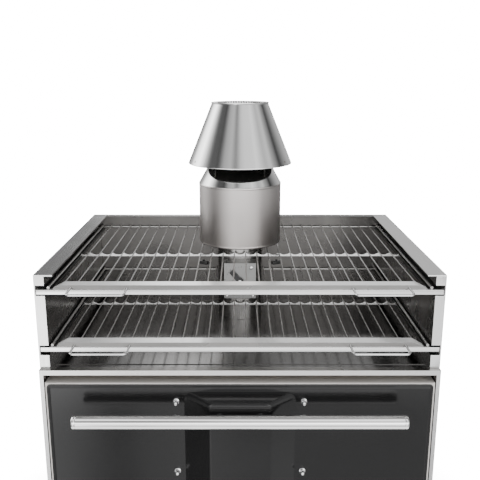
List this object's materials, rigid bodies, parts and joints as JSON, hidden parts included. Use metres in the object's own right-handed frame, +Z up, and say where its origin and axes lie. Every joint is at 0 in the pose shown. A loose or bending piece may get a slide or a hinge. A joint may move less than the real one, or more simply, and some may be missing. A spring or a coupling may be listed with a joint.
{
  "type": "charcoal oven with rack housing",
  "caption": "Stainless charcoal oven with a black drop-down door, a chimney with damper, spark arrestor and conical hat, and two pull-out skewer racks in an open-fronted housing on top.",
  "frame": {"origin": "centre of the footprint's bounding box, on the floor under the feet", "axes": "+X to the right seen from the front, -Y out of the front, +Z up"},
  "size_m": [0.88, 0.72, 1.2598],
  "materials": {
    "stainless_brushed": "satin",
    "stainless_polished": "polished",
    "dark_steel": "satin",
    "wire_steel": "satin",
    "black_enamel": "gloss",
    "firebrick": "matte",
    "mineral_wool": "matte",
    "seal_rope": "matte",
    "cast_iron": "matte",
    "foot_nylon": "matte",
    "needle_red": "satin"
  },
  "bodies": {
    "oven": {"housing_left_wall": "stainless_brushed", "housing_right_wall": "stainless_brushed", "housing_back_wall": "stainless_brushed", "housing_floor": "stainless_brushed", "slide_channels": "dark_steel", "flue_pipe": "dark_steel", "damper_box": "stainless_brushed", "arrestor_body": "stainless_brushed", "arrestor_baffle": "wire_steel", "hat": "stainless_polished", "hat_struts": "wire_steel", "hat_screen": "wire_steel", "cabinet_left_side": "stainless_brushed", "cabinet_right_side": "stainless_brushed", "cabinet_rear_panel": "stainless_brushed", "top_deck": "stainless_brushed", "base_panel": "stainless_brushed", "front_frame": "stainless_brushed", "bulkhead": "dark_steel", "lower_front_panel": "black_enamel", "chamber_side_walls": "dark_steel", "chamber_rear_wall": "dark_steel", "chamber_roof": "dark_steel", "chamber_floor": "dark_steel", "insulation": "mineral_wool", "firebricks": "firebrick", "charcoal_grate": "cast_iron", "cooking_grid": "wire_steel", "legs": "stainless_brushed", "foot_pads": "foot_nylon", "hinge_pins": "wire_steel"},
    "upper_rack": {"upper_rack_front_bar": "stainless_polished", "upper_rack_nose": "stainless_polished", "upper_rack_grid": "wire_steel", "upper_rack_crossbar": "stainless_polished", "upper_rack_runners": "dark_steel", "upper_rack_handles": "stainless_polished"},
    "lower_rack": {"lower_rack_front_bar": "stainless_polished", "lower_rack_nose": "stainless_polished", "lower_rack_grid": "wire_steel", "lower_rack_crossbar": "stainless_polished", "lower_rack_runners": "dark_steel", "lower_rack_handles": "stainless_polished"},
    "door": {"door_front_panel": "black_enamel", "door_tray": "stainless_brushed", "door_inner_plate": "stainless_brushed", "door_insulation": "mineral_wool", "door_seal": "seal_rope", "door_spine": "black_enamel", "door_handle": "stainless_polished", "handle_mounts": "stainless_polished", "door_cap_nuts": "stainless_polished", "thermometer_case": "stainless_polished"},
    "thermometer_needle": {"thermometer_needle": "needle_red"},
    "damper": {"damper_disc": "dark_steel", "damper_spindle": "wire_steel", "damper_lever": "dark_steel"},
    "ash_drawer": {"ash_drawer": "black_enamel", "ash_drawer_handle": "stainless_polished"},
    "air_shutter": {"air_shutter": "stainless_brushed"}
  },
  "joints": [
    {"name": "upper_rack_slide", "type": "slide", "parent": "oven", "child": "upper_rack", "axis": [0, -1, 0], "range_m": [0, 0.4]},
    {"name": "lower_rack_slide", "type": "slide", "parent": "oven", "child": "lower_rack", "axis": [0, -1, 0], "range_m": [0, 0.4]},
    {"name": "door_hinge", "type": "hinge", "parent": "oven", "child": "door", "pos_m": [0, -0.2795, 0.2435], "axis": [1, 0, 0], "range_deg": [0, 90]},
    {"name": "damper_turn", "type": "hinge", "parent": "oven", "child": "damper", "pos_m": [0, 0.08, 0.817], "axis": [0, 1, 0], "range_deg": [-45, 45]},
    {"name": "ash_drawer_slide", "type": "slide", "parent": "oven", "child": "ash_drawer", "axis": [0, -1, 0], "range_m": [0, 0.28]},
    {"name": "air_shutter_slide", "type": "slide", "parent": "oven", "child": "air_shutter", "axis": [1, 0, 0], "range_m": [0, 0.01]},
    {"name": "thermometer_needle_turn", "type": "hinge", "parent": "door", "child": "thermometer_needle", "pos_m": [0, -0.334, 0.35], "axis": [0, 1, 0], "range_deg": [0, 240]}
  ]
}
